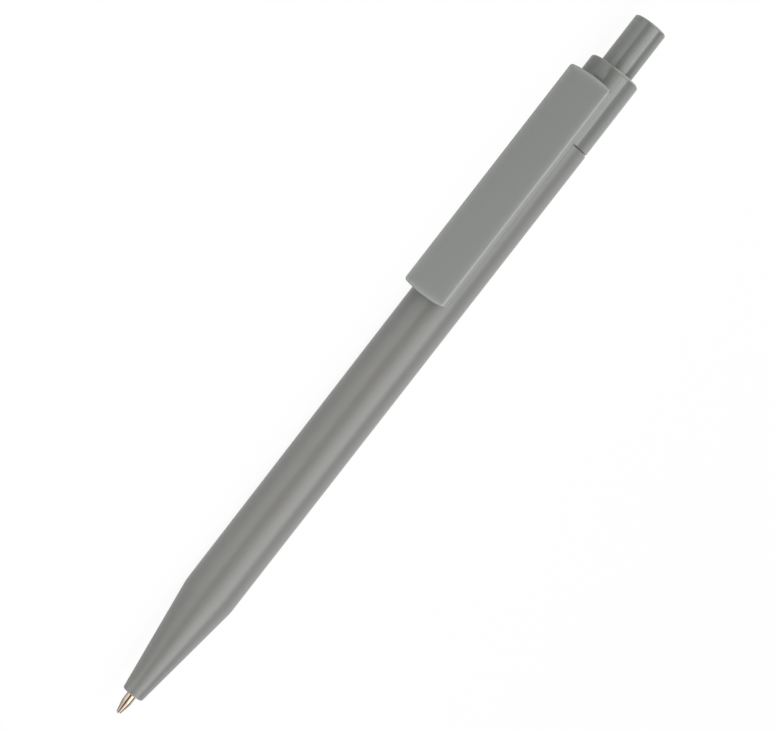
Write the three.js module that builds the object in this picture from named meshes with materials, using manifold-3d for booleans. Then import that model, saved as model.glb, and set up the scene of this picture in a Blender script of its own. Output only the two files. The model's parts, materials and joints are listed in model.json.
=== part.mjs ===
// A retractable ballpoint pen with a push button and a wide flat clip, shown with its tip out.
// Millimetres. Each piece is made along its own y axis: y = 0 is the end of the nose, +y runs
// towards the push button, and the clip faces +z. The whole pen is then laid on a table.

import * as THREE from 'three';
import { mergeVertices } from 'three/addons/utils/BufferGeometryUtils.js';
import Module from 'manifold-3d';

const wasm = await Module();
wasm.setup();

// Clearances
const restGap = 0.3; // where one piece rests on another
const runFit = 0.05; // between pieces that slide in each other, on the radius
const glueFit = 0.04; // between the refill's tube and what is pushed into it
const seamGap = 0.2; // the dark line between the barrel and the upper housing

// Barrel
const barrelLength = 113.2;
const mouthRadius = 4.68;
const mouthWall = 0.6;
const mouthEdge = 0.15;
const coneRadius = 4.495;
const coneLength = 20;
const coneBlend = 6;
const coneWall = 1;
const noseRadius = 1.87;
const noseEdge = 0.45;
const noseHoleLength = 3;
const boreRadius = 3.4;
const springSeat = 10.5;

// Upper housing
const collarStep = 0.07; // the collar is this much thinner than the barrel's mouth
const collarLength = 13.8;
const collarTopEdge = 0.5;
const collarTopWall = 1.2;
const spigotLength = 14.2;
const spigotWall = 0.53;

// Click mechanism
const guideCount = 4;
const guideSideGap = THREE.MathUtils.degToRad(3);
const retractTravel = 5.6;
const stopGap = 0.3;
const toothHeight = 0.8;
const buttonRadius = 2.95;
const buttonShown = 9.4;
const buttonEdge = 0.4;
const buttonBore = 1.6;
const buttonRoof = 1.6;
const buttonSkirt = 5;
const buttonLugLength = 2.9;
const rotorSleeveRadius = 2.4;
const rotorSleeveLength = 7.1;
const rotorLugLength = 3.6;
const rotorPinLength = 6;
const rotorSocketDepth = 3;

// Refill
const tipOut = 3.85; // how far the tip stands out of the nose
const refillRadius = 1.55;
const refillWall = 0.55;
const guideClearance = 0.2;
const tipClearance = 0.1;
const ballRadius = 0.35;
const ballClearance = 0.025;
const lipClearance = 0.013;
const lipForward = 0.13; // from the ball's centre to the lip that holds it in
const lipRadius = 0.42;
const feedRadius = 0.2;
const channelRadius = 0.5;
const channelStart = 2;
const tipConeLength = 2.05;
const tipNeckRadius = 0.93;
const tipNeckTaper = 0.07; // the neck is this much thinner at its foot
const tipNeckLength = 3.3;
const tipShankRadius = 1.15;
const tipShankLength = 4;
const tipChamfer = 0.3;
const tipCollarLength = 0.5;
const tipPlugLength = 4;
const earLength = 2.4;
const earThickness = 0.9;
const airLength = 10.2; // the empty stretch of the tube behind the grease
const greaseLength = 2.5;

// Spring
const wireRadius = 0.19;
const springClearance = 0.31;
const chamberClearance = 0.16;
const springLength = 19;
const springTurns = 12;
const springEndTurns = 1.5;
const springEndPitch = 0.85;

// Clip
const clipWidth = 8.3;
const clipLength = 44.3;
const clipThickness = 1.6;
const clipGap = 0.93;
const clipDrop = 3.5; // from the top of the housing to the top of the clip
const clipEdge = 0.4; // radius of the front edges
const clipBackEdge = 0.3;
const clipCorner = 0.6;
const clipEndSag = 0.38;
const footWidth = 2.2;
const footLength = 4;
const footSetback = 4.4; // from the top of the clip to the middle of its foot
const hookLength = 0.8;
const hookThickness = 0.35;
const lipThickness = 0.45; // the housing's wall over the hooks
const pocketClearance = 0.2;
const beadRadius = 2;
const beadSetback = 5; // from the free end of the clip to its grip bead
const beadClearance = 0.3;
const beadMargin = 0.9;

// Facets
const turnSteps = 48;
const fineSteps = 24;
const filletSteps = 3;
const curlSteps = 8;
const wireSides = 5;

// Stations along the pen
const collarBase = barrelLength + seamGap;
const collarTop = collarBase + collarLength;
const housingCeiling = collarTop - collarTopWall;
const spigotEnd = collarBase - spigotLength;
const buttonTop = collarTop + buttonShown;
const buttonLugTop = housingCeiling - stopGap - retractTravel;
const buttonLugBase = buttonLugTop - buttonLugLength;
const crownRoot = buttonLugBase - buttonSkirt;
const rotorTop = crownRoot - toothHeight - restGap;
const rotorLugBase = rotorTop - rotorLugLength;
const rotorEnd = rotorLugBase - rotorSleeveLength;
const refillEnd = rotorEnd + rotorSocketDepth - restGap;
const clipTop = collarTop - clipDrop;
const clipEnd = clipTop - clipLength;
const footMiddle = clipTop - footSetback;
const beadMiddle = clipEnd + beadSetback;

// Radii that follow from a neighbour
const collarRadius = mouthRadius - collarStep;
const spigotBedRadius = mouthRadius - mouthWall;
const spigotRadius = spigotBedRadius - runFit;
const slotRadius = spigotRadius - spigotWall;
const ribRadius = buttonRadius + runFit;
const lugRadius = slotRadius - runFit;
const rotorRadius = buttonRadius - runFit;
const rotorLugRoot = rotorRadius - runFit;
const noseHoleRadius = tipShankRadius + tipClearance;
const guideRadius = refillRadius + guideClearance;
const springRadius = refillRadius + springClearance + wireRadius;
const chamberRadius = springRadius + wireRadius + chamberClearance;
const refillBore = refillRadius - refillWall;
const plugRadius = refillBore - glueFit;
const clipBack = collarRadius + clipGap;
const clipFront = clipBack + clipThickness;

// The ball and the metal tip, from the ball's end
const ballCentre = ballRadius - tipOut;
const lipStation = ballCentre - lipForward;
const coneEnd = lipStation + tipConeLength;
const neckEnd = coneEnd + tipNeckLength;
const shankEnd = neckEnd + tipChamfer + tipShankLength;
const collarStart = shankEnd + tipChamfer;
const tubeStart = collarStart + tipCollarLength + restGap;
const plugEnd = collarStart + tipCollarLength + tipPlugLength;
const earFront = springSeat + restGap + springLength + restGap;
const inkStart = plugEnd + restGap;
const greaseStart = refillEnd - airLength - greaseLength;
const inkLength = greaseStart - restGap - inkStart;

// Radius of the barrel's body at a station, with its draft
function bodyRadiusAt(y) {
  const share = (y - coneLength) / (barrelLength - coneLength);
  return coneRadius + (mouthRadius - coneRadius) * share;
}

// Station where the inside of the cone has a radius
function coneStation(radius) {
  return ((radius + coneWall - noseRadius) * coneLength) / (coneRadius - noseRadius);
}

// Outline whose corners [x, y, fillet] become arcs where a fillet is given
function outline(corners) {
  const points = [];
  corners.forEach(([x, y, fillet], i) => {
    const corner = new THREE.Vector2(x, y);
    if (!fillet) {
      points.push(corner);
      return;
    }
    const before = new THREE.Vector2(...corners.at(i - 1)).sub(corner);
    const after = new THREE.Vector2(...corners[(i + 1) % corners.length]).sub(corner);
    const room = 0.49 * Math.min(before.length(), after.length());
    const half = Math.acos(before.normalize().dot(after.normalize())) / 2;
    const reach = Math.min(fillet / Math.tan(half), room);
    const radius = reach * Math.tan(half);
    const inward = before.clone().add(after).normalize();
    const centre = corner.clone().addScaledVector(inward, radius / Math.sin(half));
    const start = corner.clone().addScaledVector(before, reach).sub(centre);
    const turn = Math.sign(before.cross(after)) * (2 * half - Math.PI);
    for (let k = 0; k <= filletSteps; k += 1) {
      const swing = start.clone().rotateAround(new THREE.Vector2(), (turn * k) / filletSteps);
      points.push(swing.add(centre));
    }
  });
  return points;
}

// Points of a circle's arc, both ends included
function arc(cx, cy, radius, from, to, steps) {
  const points = [];
  for (let k = 0; k <= steps; k += 1) {
    const angle = from + ((to - from) * k) / steps;
    points.push([cx + radius * Math.cos(angle), cy + radius * Math.sin(angle)]);
  }
  return points;
}

// Geometry with shared vertices and no collapsed triangles
function welded(geometry) {
  const bare = geometry.clone();
  bare.deleteAttribute('normal');
  bare.deleteAttribute('uv');
  const merged = mergeVertices(bare, 1e-5);
  const index = merged.index.array;
  const kept = [];
  for (let i = 0; i < index.length; i += 3) {
    const [a, b, c] = index.slice(i, i + 3);
    if (a !== b && b !== c && c !== a) {
      kept.push(a, b, c);
    }
  }
  merged.setIndex(kept);
  return merged;
}

// Solid for joining and cutting
function solid(geometry) {
  const merged = welded(geometry);
  return new wasm.Manifold(
    new wasm.Mesh({
      numProp: 3,
      vertProperties: new Float32Array(merged.attributes.position.array),
      triVerts: new Uint32Array(merged.index.array),
    }),
  );
}

// Geometry of a joined or cut solid
function geometryOf(body) {
  const mesh = body.getMesh();
  const geometry = new THREE.BufferGeometry();
  geometry.setAttribute('position', new THREE.BufferAttribute(mesh.vertProperties, 3));
  geometry.setIndex(new THREE.BufferAttribute(mesh.triVerts, 1));
  return geometry;
}

// Turned solid: the profile runs up the outside, and down the inside if there is a bore
function turned(profile, steps) {
  return welded(new THREE.LatheGeometry(profile, steps));
}

// Turned solid with a bore: its profile closes on itself
function turnedRing(corners, steps) {
  const profile = outline(corners);
  profile.push(profile[0].clone());
  return turned(profile, steps);
}

// Block bent round the y axis between two radii, whose ends are heights that depend on the angle
function bentBlock(inner, outer, from, to, low, high) {
  const count = Math.round(((to - from) / (2 * Math.PI)) * turnSteps);
  const positions = [];
  for (let k = 0; k <= count; k += 1) {
    const angle = from + ((to - from) * k) / count;
    const x = Math.sin(angle);
    const z = Math.cos(angle);
    const bottom = low(angle);
    const top = high(angle);
    positions.push(inner * x, bottom, inner * z, outer * x, bottom, outer * z);
    positions.push(outer * x, top, outer * z, inner * x, top, inner * z);
  }
  const index = [];
  for (let k = 0; k < count; k += 1) {
    for (let side = 0; side < 4; side += 1) {
      const a = 4 * k + side;
      const b = 4 * k + ((side + 1) % 4);
      index.push(a, a + 4, b, b, a + 4, b + 4);
    }
  }
  if (to - from < 2 * Math.PI - 1e-9) {
    const end = 4 * count;
    index.push(0, 1, 2, 0, 2, 3, end, end + 2, end + 1, end, end + 3, end + 2);
  }
  const geometry = new THREE.BufferGeometry();
  geometry.setAttribute('position', new THREE.Float32BufferAttribute(positions, 3));
  geometry.setIndex(index);
  return geometry;
}

// Height of the crown's teeth at an angle, from 0 at a root to 1 at a tip
function toothWave(angle) {
  const step = Math.PI / guideCount;
  const share = (((angle / step) % 1) + 1) % 1;
  return 1 - Math.abs(2 * share - 1);
}

// Height of a ramp across a block that is centred on an angle, from 0 to 1
function ramp(centre, width) {
  return (angle) => (angle - centre) / width + 0.5;
}

// Angles of the guide slots: the ribs lie between them, one of them behind the clip
function slotAngle(k) {
  return ((2 * k + 1) * Math.PI) / guideCount;
}

function ribAngle(k) {
  return (2 * k * Math.PI) / guideCount;
}

// Lugs that run in the guide slots, with ramps on top where they have a rise
function withLugs(body, inner, base, top, rise) {
  const width = Math.PI / guideCount - 2 * guideSideGap;
  let joined = body;
  for (let k = 0; k < guideCount; k += 1) {
    const centre = slotAngle(k);
    const share = ramp(centre, width);
    const from = centre - width / 2;
    const to = centre + width / 2;
    const high = (angle) => top - rise * (1 - share(angle));
    joined = joined.add(solid(bentBlock(inner, lugRadius, from, to, () => base, high)));
  }
  return joined;
}

// Barrel: moulded in one piece with its conical nose
function barrel() {
  const chamberTop = Math.max(coneStation(chamberRadius), springSeat + wireRadius);
  const boreStart = Math.max(coneStation(boreRadius), chamberTop + wireRadius);
  const holeTop = noseHoleLength + guideRadius - noseHoleRadius;
  return turnedRing(
    [
      [noseHoleRadius, 0],
      [noseRadius, 0, noseEdge],
      [coneRadius, coneLength, coneBlend],
      [mouthRadius, barrelLength, mouthEdge],
      [spigotBedRadius, barrelLength],
      [spigotBedRadius, spigotEnd - restGap],
      [boreRadius, spigotEnd - restGap],
      [boreRadius, boreStart],
      [chamberRadius, chamberTop],
      [chamberRadius, springSeat],
      [guideRadius, springSeat],
      [guideRadius, holeTop],
      [noseHoleRadius, noseHoleLength],
    ],
    turnSteps,
  );
}

// Side outline of the clip's foot and its two hooks, or of the pocket that takes them
function footOutline(clearance, top) {
  const neck = footLength / 2 + clearance;
  const hook = footLength / 2 + hookLength + clearance;
  const hookTop = collarRadius - lipThickness - pocketClearance + clearance;
  const hookBase = collarRadius - lipThickness - pocketClearance - hookThickness - clearance;
  return outline([
    [-hook, hookBase],
    [hook, hookBase],
    [hook, hookTop],
    [neck, hookTop],
    [neck, top],
    [-neck, top],
    [-neck, hookTop],
    [-hook, hookTop],
  ]);
}

// Side outline, along the pen and out from it, drawn out across the pen to a width
function acrossPen(points, width, middle) {
  const geometry = new THREE.ExtrudeGeometry(new THREE.Shape(points), {
    depth: width,
    bevelEnabled: false,
  });
  const side = new THREE.Matrix4().makeBasis(
    new THREE.Vector3(0, 1, 0),
    new THREE.Vector3(0, 0, 1),
    new THREE.Vector3(1, 0, 0),
  );
  return geometry.applyMatrix4(side).translate(-width / 2, middle, 0);
}

// Upper housing: collar, spigot that screws into the barrel, guide ribs and the clip's pocket
function upperHousing() {
  const shell = turnedRing(
    [
      [slotRadius, spigotEnd],
      [spigotRadius, spigotEnd],
      [spigotRadius, collarBase],
      [collarRadius, collarBase, mouthEdge],
      [collarRadius, collarTop, collarTopEdge],
      [ribRadius, collarTop],
      [ribRadius, housingCeiling],
      [slotRadius, housingCeiling],
    ],
    turnSteps,
  );
  const width = Math.PI / guideCount;
  const sink = spigotWall / 2;
  let body = solid(shell);
  for (let k = 0; k < guideCount; k += 1) {
    const centre = ribAngle(k);
    const share = ramp(centre, width);
    const low = (angle) => crownRoot + toothHeight * share(angle);
    const high = () => housingCeiling + collarTopWall / 2;
    const from = centre - width / 2;
    const to = centre + width / 2;
    body = body.add(solid(bentBlock(ribRadius, slotRadius + sink, from, to, low, high)));
  }
  const pocket = acrossPen(
    footOutline(pocketClearance, clipBack),
    footWidth + 2 * pocketClearance,
    footMiddle,
  );
  return geometryOf(body.subtract(solid(pocket)));
}

// Plate of the clip's thickness with one radius on all its edges
function softPlate(plan, edge) {
  const plate = new THREE.ExtrudeGeometry(plan, {
    depth: clipThickness - 2 * edge,
    bevelThickness: edge,
    bevelSize: edge,
    bevelOffset: -edge,
    bevelSegments: filletSteps,
  });
  return solid(plate.translate(0, 0, clipBack + edge));
}

// Clip: flat plate with soft edges and bowed ends, a hooked foot and a grip bead
function clip() {
  const half = clipWidth / 2;
  const bow = (half * half + clipEndSag * clipEndSag) / (2 * clipEndSag);
  const swing = Math.asin(half / bow);
  const right = Math.PI / 2;
  const lower = arc(0, clipEnd + bow, bow, -right - swing, -right + swing, 6);
  const upper = arc(0, clipTop - bow, bow, right - swing, right + swing, 6);
  const corners = [...lower, ...upper];
  [0, lower.length - 1, lower.length, corners.length - 1].forEach((i) => {
    corners[i].push(clipCorner);
  });
  const plan = new THREE.Shape(outline(corners));
  const middle = (clipBack + clipFront) / 2;
  const face = softPlate(plan, clipEdge).trimByPlane([0, 0, 1], middle);
  const back = softPlate(plan, clipBackEdge).trimByPlane([0, 0, -1], -middle);
  const foot = acrossPen(footOutline(0, clipBack + clipEdge), footWidth, footMiddle);
  const beadLow = bodyRadiusAt(beadMiddle) + beadClearance;
  const beadTop = clipBack + clipEdge;
  const beadSwing = Math.acos((beadLow + beadRadius - beadTop) / beadRadius);
  const beadArc = arc(0, beadLow + beadRadius, beadRadius, -right - beadSwing, -right + beadSwing, 8);
  const beadPoints = beadArc.map(([y, z]) => new THREE.Vector2(y, z));
  const bead = acrossPen(beadPoints, clipWidth - 2 * beadMargin, beadMiddle);
  return geometryOf(face.add(back).add(solid(foot)).add(solid(bead)));
}

// Push button: hollow from below, with guide lugs and a crown of teeth at its lower end
function pushButton() {
  const shell = turned(
    outline([
      [buttonBore, crownRoot],
      [buttonRadius, crownRoot],
      [buttonRadius, buttonTop, buttonEdge],
      [0, buttonTop],
    ]).concat(
      outline([
        [0, buttonTop - buttonRoof],
        [buttonBore, buttonTop - buttonRoof],
        [buttonBore, crownRoot],
      ]),
    ),
    turnSteps,
  );
  const low = (angle) => crownRoot - toothHeight * toothWave(angle);
  const sunk = () => crownRoot + toothHeight;
  const edge = rotorLugRoot - runFit;
  const crown = bentBlock(buttonBore + runFit, edge, 0, 2 * Math.PI, low, sunk);
  const body = solid(shell).add(solid(crown));
  return geometryOf(withLugs(body, buttonBore + runFit * 2, buttonLugBase, buttonLugTop, 0));
}

// Cam rotor: socket for the refill, lugs with ramps, teeth that meet the button's, centring pin
function camRotor() {
  const pinRadius = buttonBore - 2 * runFit;
  const socketRadius = refillRadius + runFit;
  const shell = turned(
    outline([
      [socketRadius, rotorEnd],
      [rotorSleeveRadius, rotorEnd],
      [rotorSleeveRadius, rotorLugBase],
      [rotorRadius, rotorLugBase],
      [rotorRadius, rotorTop],
      [pinRadius, rotorTop],
      [pinRadius, rotorTop + rotorPinLength],
      [0, rotorTop + rotorPinLength],
      [0, rotorEnd + rotorSocketDepth],
      [socketRadius, rotorEnd + rotorSocketDepth],
      [socketRadius, rotorEnd],
    ]),
    turnSteps,
  );
  const high = (angle) => rotorTop + toothHeight * (1 - toothWave(angle));
  const sunk = () => rotorTop - toothHeight;
  const edge = rotorLugRoot - runFit;
  const crown = bentBlock(pinRadius - 2 * runFit, edge, 0, 2 * Math.PI, sunk, high);
  const body = solid(shell).add(solid(crown));
  return geometryOf(withLugs(body, rotorLugRoot, rotorLugBase, rotorTop + toothHeight, toothHeight));
}

// Refill tube: plastic, pinched into two ears that carry the spring
function refillTube() {
  const rod = turned(
    outline([
      [0, tubeStart],
      [refillRadius, tubeStart],
      [refillRadius, refillEnd],
      [0, refillEnd],
    ]),
    fineSteps,
  );
  const bore = turned(
    outline([
      [0, tubeStart - restGap],
      [refillBore, tubeStart - restGap],
      [refillBore, refillEnd + restGap],
      [0, refillEnd + restGap],
    ]),
    fineSteps,
  );
  const reach = springRadius + wireRadius;
  const ears = new THREE.ExtrudeGeometry(
    new THREE.Shape(
      outline([
        [-reach, earFront],
        [reach, earFront],
        [reach, earFront + earThickness],
        [refillBore, earFront + earLength],
        [-refillBore, earFront + earLength],
        [-reach, earFront + earThickness],
      ]),
    ),
    { depth: earThickness, bevelEnabled: false },
  ).translate(0, 0, -earThickness / 2);
  return geometryOf(solid(rod).add(solid(ears)).subtract(solid(bore)));
}

// Metal tip: lip and socket for the ball, cone, neck, shank, collar and the plug in the tube
function refillTip() {
  const socket = ballRadius + ballClearance;
  const opening = Math.sqrt(ballRadius ** 2 - lipForward ** 2) + lipClearance;
  const feedAngle = Math.acos(feedRadius / socket);
  const seat = arc(0, ballCentre, socket, feedAngle, -Math.asin(lipForward / (2 * socket)), 8);
  return turnedRing(
    [
      [opening, lipStation],
      [lipRadius, lipStation],
      [tipNeckRadius - tipNeckTaper, coneEnd],
      [tipNeckRadius, neckEnd],
      [tipShankRadius, neckEnd + tipChamfer],
      [tipShankRadius, shankEnd],
      [refillRadius, collarStart],
      [refillRadius, collarStart + tipCollarLength],
      [plugRadius, collarStart + tipCollarLength],
      [plugRadius, plugEnd],
      [channelRadius, plugEnd],
      [channelRadius, ballCentre + channelStart],
      [feedRadius, ballCentre + channelStart - tipChamfer],
      ...seat,
    ],
    fineSteps,
  );
}

// Rod in the refill's bore
function rod(start, length) {
  const profile = outline([
    [0, start],
    [plugRadius, start],
    [plugRadius, start + length],
    [0, start + length],
  ]);
  return turned(profile, fineSteps);
}

// Centre line of the spring, with closer turns at both ends
class SpringLine extends THREE.Curve {
  constructor() {
    super();
    this.arcLengthDivisions = springTurns * curlSteps * 4;
  }

  getPoint(share, target = new THREE.Vector3()) {
    const turn = share * springTurns;
    const angle = 2 * Math.PI * turn;
    const endRise = springEndTurns * springEndPitch;
    const free = springLength - 2 * wireRadius - 2 * endRise;
    const pitch = free / (springTurns - 2 * springEndTurns);
    const middle = THREE.MathUtils.clamp(turn - springEndTurns, 0, springTurns - 2 * springEndTurns);
    const rise = middle * pitch + (turn - middle) * springEndPitch;
    const y = springSeat + restGap + wireRadius + rise;
    return target.set(springRadius * Math.cos(angle), y, springRadius * Math.sin(angle));
  }
}

// Least gap between the turns of the spring, measured on points of its centre line
function springLeastGap(line) {
  const samples = line.getSpacedPoints(springTurns * curlSteps);
  let least = Infinity;
  samples.forEach((point, i) => {
    for (let k = i + curlSteps - 2; k < samples.length; k += 1) {
      least = Math.min(least, point.distanceTo(samples[k]) - 2 * wireRadius);
    }
  });
  return least;
}

// Spring: one unbroken wire between the barrel's ledge and the refill's ears
function spring() {
  const line = new SpringLine();
  const section = [];
  for (let k = 0; k < wireSides; k += 1) {
    const angle = (2 * Math.PI * k) / wireSides;
    section.push(new THREE.Vector2(wireRadius * Math.cos(angle), wireRadius * Math.sin(angle)));
  }
  console.log(`spring: least gap between turns ${springLeastGap(line).toFixed(2)} mm`);
  const wire = new THREE.ExtrudeGeometry(new THREE.Shape(section), {
    steps: springTurns * curlSteps,
    extrudePath: line,
    bevelEnabled: false,
  });
  return welded(wire);
}

// Writing ball
function ball() {
  return welded(new THREE.SphereGeometry(ballRadius, 16, 12).translate(0, ballCentre, 0));
}

const satinGrey = new THREE.MeshStandardMaterial({ color: 0x8b8c89, roughness: 0.42, metalness: 0 });
const glossGrey = new THREE.MeshStandardMaterial({ color: 0x858683, roughness: 0.22, metalness: 0 });
const clipGrey = new THREE.MeshStandardMaterial({ color: 0x8c8e8b, roughness: 0.35, metalness: 0 });
const milkWhite = new THREE.MeshStandardMaterial({ color: 0xe6e5df, roughness: 0.45, metalness: 0 });
const tubePlastic = new THREE.MeshStandardMaterial({ color: 0xd9dcdc, roughness: 0.35, metalness: 0 });
const brassy = new THREE.MeshStandardMaterial({ color: 0xb59a62, roughness: 0.2, metalness: 1 });
const steel = new THREE.MeshStandardMaterial({ color: 0xb9bcc0, roughness: 0.25, metalness: 1 });
const inkBlue = new THREE.MeshStandardMaterial({ color: 0x14204f, roughness: 0.3, metalness: 0 });
const grease = new THREE.MeshStandardMaterial({ color: 0xcfc9a8, roughness: 0.4, metalness: 0 });

// Angle that rolls the pen until both the barrel and the clip's edge lie on the table
function tableRoll() {
  const across = clipWidth / 2 - clipEdge;
  const out = clipFront - clipEdge;
  const reach = Math.hypot(across, out);
  return Math.asin((mouthRadius - clipEdge) / reach) - Math.atan(across / out);
}

// The pen lies along x with its tip towards +x and its clip towards -y, rolled onto the clip
function layOnTable(pen) {
  const roll = tableRoll();
  const up = new THREE.Vector3(0, -Math.sin(roll), Math.cos(roll));
  const along = new THREE.Vector3(-1, 0, 0);
  const clipWay = new THREE.Vector3(0, -Math.cos(roll), -Math.sin(roll));
  pen.setRotationFromMatrix(new THREE.Matrix4().makeBasis(up, along, clipWay));
  const box = new THREE.Box3().setFromObject(pen, true);
  const middle = box.getCenter(new THREE.Vector3());
  pen.position.set(-middle.x, -middle.y, -box.min.z);
}

const pieces = [
  ['barrel', barrel(), satinGrey],
  ['upper_housing', upperHousing(), glossGrey],
  ['clip', clip(), clipGrey],
  ['push_button', pushButton(), glossGrey],
  ['cam_rotor', camRotor(), milkWhite],
  ['spring', spring(), steel],
  ['refill_tube', refillTube(), tubePlastic],
  ['refill_tip', refillTip(), brassy],
  ['writing_ball', ball(), steel],
  ['ink_column', rod(inkStart, inkLength), inkBlue],
  ['grease_plug', rod(greaseStart, greaseLength), grease],
];

const pen = new THREE.Group();
pieces.forEach(([name, geometry, material]) => {
  const mesh = new THREE.Mesh(geometry, material);
  mesh.name = name;
  pen.add(mesh);
});
layOnTable(pen);

const part = new THREE.Group();
part.add(pen);

export default part;
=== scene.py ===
import json
import math

import bmesh
import bpy
from mathutils import Matrix, Vector


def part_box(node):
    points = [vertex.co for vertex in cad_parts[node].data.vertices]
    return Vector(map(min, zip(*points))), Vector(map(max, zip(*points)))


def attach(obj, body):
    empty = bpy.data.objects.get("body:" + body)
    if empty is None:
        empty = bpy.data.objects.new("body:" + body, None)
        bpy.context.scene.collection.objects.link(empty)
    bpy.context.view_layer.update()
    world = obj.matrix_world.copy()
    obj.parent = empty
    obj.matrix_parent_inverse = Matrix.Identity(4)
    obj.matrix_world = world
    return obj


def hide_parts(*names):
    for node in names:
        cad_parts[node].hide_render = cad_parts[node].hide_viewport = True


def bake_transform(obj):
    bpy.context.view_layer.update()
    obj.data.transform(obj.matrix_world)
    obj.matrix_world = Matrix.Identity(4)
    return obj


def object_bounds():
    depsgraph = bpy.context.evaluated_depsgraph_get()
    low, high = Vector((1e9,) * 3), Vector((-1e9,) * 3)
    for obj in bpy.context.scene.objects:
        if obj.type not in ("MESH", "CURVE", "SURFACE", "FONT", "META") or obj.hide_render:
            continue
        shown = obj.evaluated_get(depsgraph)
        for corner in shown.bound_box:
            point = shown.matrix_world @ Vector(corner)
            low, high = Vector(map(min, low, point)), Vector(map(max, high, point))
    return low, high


# Visual model of a retractable ballpoint pen that lies on a white floor

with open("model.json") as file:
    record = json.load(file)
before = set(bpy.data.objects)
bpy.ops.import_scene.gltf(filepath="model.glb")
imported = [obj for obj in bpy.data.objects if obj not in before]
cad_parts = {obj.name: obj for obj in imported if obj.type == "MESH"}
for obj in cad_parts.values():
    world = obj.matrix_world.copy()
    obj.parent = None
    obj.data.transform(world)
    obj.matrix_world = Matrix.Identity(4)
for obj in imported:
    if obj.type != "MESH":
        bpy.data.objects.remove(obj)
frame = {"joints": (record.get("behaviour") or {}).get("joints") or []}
CAD_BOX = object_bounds()

# The pen's own axes: x across the clip, y from the nose's end to the button, z out of the clip
MM = 0.001
JOINTS = {joint["name"]: joint for joint in frame["joints"]}
ACROSS = -Vector(JOINTS["clip_flex"]["axis"])
ALONG = Vector(JOINTS["button_click"]["axis"])
OUT = ACROSS.cross(ALONG)
BARREL_LOW, BARREL_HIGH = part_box("barrel")
NOSE = Vector((BARREL_HIGH.x, (BARREL_LOW.y + BARREL_HIGH.y) / 2, (BARREL_LOW.z + BARREL_HIGH.z) / 2))
TO_ROW = Matrix.Translation(NOSE) @ Matrix((ACROSS, ALONG, OUT)).transposed().to_4x4() @ Matrix.Scale(MM, 4)


def station(x):
    """Distance from the nose's end, in mm, of a place along the row's x axis."""
    return (NOSE.x - x) / MM


def span(node):
    """Both ends of a CAD node along the pen, in mm from the nose's end."""
    low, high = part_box(node)
    return station(high.x), station(low.x)


def half_depth(node):
    """Half of a turned CAD node's greatest thickness, in mm."""
    low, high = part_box(node)
    return (high.y - low.y) / 2 / MM


# Sizes that the frame gives, in mm
BARREL_LENGTH = span("barrel")[1]
MOUTH_RADIUS = half_depth("barrel")
SPIGOT_END, COLLAR_TOP = span("upper_housing")
COLLAR_RADIUS = half_depth("upper_housing")
CROWN_TIP, BUTTON_TOP = span("push_button")
LUG_RADIUS = half_depth("push_button")
ROTOR_END, PIN_END = span("cam_rotor")
BALL_END, BALL_TOP = span("writing_ball")
TUBE_START, TUBE_END = span("refill_tube")
TUBE_RADIUS = half_depth("refill_tip")
TIP_START, TIP_END = span("refill_tip")
CLIP_END, CLIP_TOP = span("clip")
SPRING_START, SPRING_END = span("spring")
SPRING_REACH = half_depth("spring")
INK_START, INK_END = span("ink_column")
INK_RADIUS = half_depth("ink_column")
GREASE_START, GREASE_END = span("grease_plug")

# Sizes that the frame doesn't give, in mm, as in the part's source, and counts
SEAM = 0.2
MOUTH_WALL = 0.6
MOUTH_EDGE = 0.15
HOLE_EDGE = 0.1
CONE_RADIUS = 4.495
CONE_LENGTH = 20
CONE_BLEND = 6
CONE_WALL = 1
NOSE_RADIUS = 1.87
NOSE_EDGE = 0.45
NOSE_HOLE = 1.25
NOSE_HOLE_LENGTH = 3
BORE_RADIUS = 3.4
SPRING_SEAT = 10.5
GUIDE_RADIUS = 1.75
CHAMBER_RADIUS = 2.4
COLLAR_TOP_EDGE = 0.5
COLLAR_TOP_WALL = 1.2
COLLAR_BORE_EDGE = 0.12
RIB_SINK = 0.2
SPIGOT_WALL = 0.53
RUN_FIT = 0.05
REST_GAP = 0.3
THREAD_PITCH = 1
THREAD_DEPTH = 0.22
THREAD_TURNS = 7
GUIDES = 4
TOOTH = 0.8
BUTTON_RADIUS = 2.95
BUTTON_EDGE = 0.4
BUTTON_BORE = 1.6
BUTTON_BORE_EDGE = 0.3
BUTTON_ROOF = 1.6
BUTTON_SKIRT = 5
BUTTON_LUG = 2.9
ROTOR_SLEEVE = 2.4
ROTOR_LUG = 3.6
ROTOR_PIN = 6
ROTOR_SOCKET = 3
ROTOR_SOCKET_EDGE = 0.1
ROTOR_SLEEVE_EDGE = 0.2
ROTOR_PIN_EDGE = 0.3
LUG_SIDE_GAP = math.radians(3)
CLIP_WIDTH = 8.3
CLIP_THICKNESS = 1.6
CLIP_GAP = 0.93
CLIP_BEVEL = 0.28
CLIP_BACK_EDGE = 0.3
CLIP_CORNER = 0.6
CLIP_SINK = 0.4
CLIP_SAG = 0.38
FOOT_WIDTH = 2.2
FOOT_LENGTH = 4
FOOT_SETBACK = 4.4
HOOK = 0.8
HOOK_THICKNESS = 0.35
POCKET_LIP = 0.45
POCKET_GAP = 0.2
BEAD_RADIUS = 2
BEAD_SETBACK = 5
BEAD_GAP = 0.3
BEAD_MARGIN = 0.9
WIRE = 0.19
SPRING_TURNS = 12
SPRING_END_TURNS = 1.5
SPRING_END_PITCH = 0.85
TUBE_WALL = 0.55
TUBE_EDGE = 0.1
EAR_LENGTH = 2.4
EAR_THICKNESS = 0.9
EAR_SINK = 0.1
LIP_FORWARD = 0.13
LIP_RADIUS = 0.42
LIP_EDGE = 0.05
LIP_PLAY = 0.013
SOCKET_PLAY = 0.025
FEED_RADIUS = 0.2
FEED_DEPTH = 1.7
WELL_RADIUS = 0.5
WELL_DEPTH = 2
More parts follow.
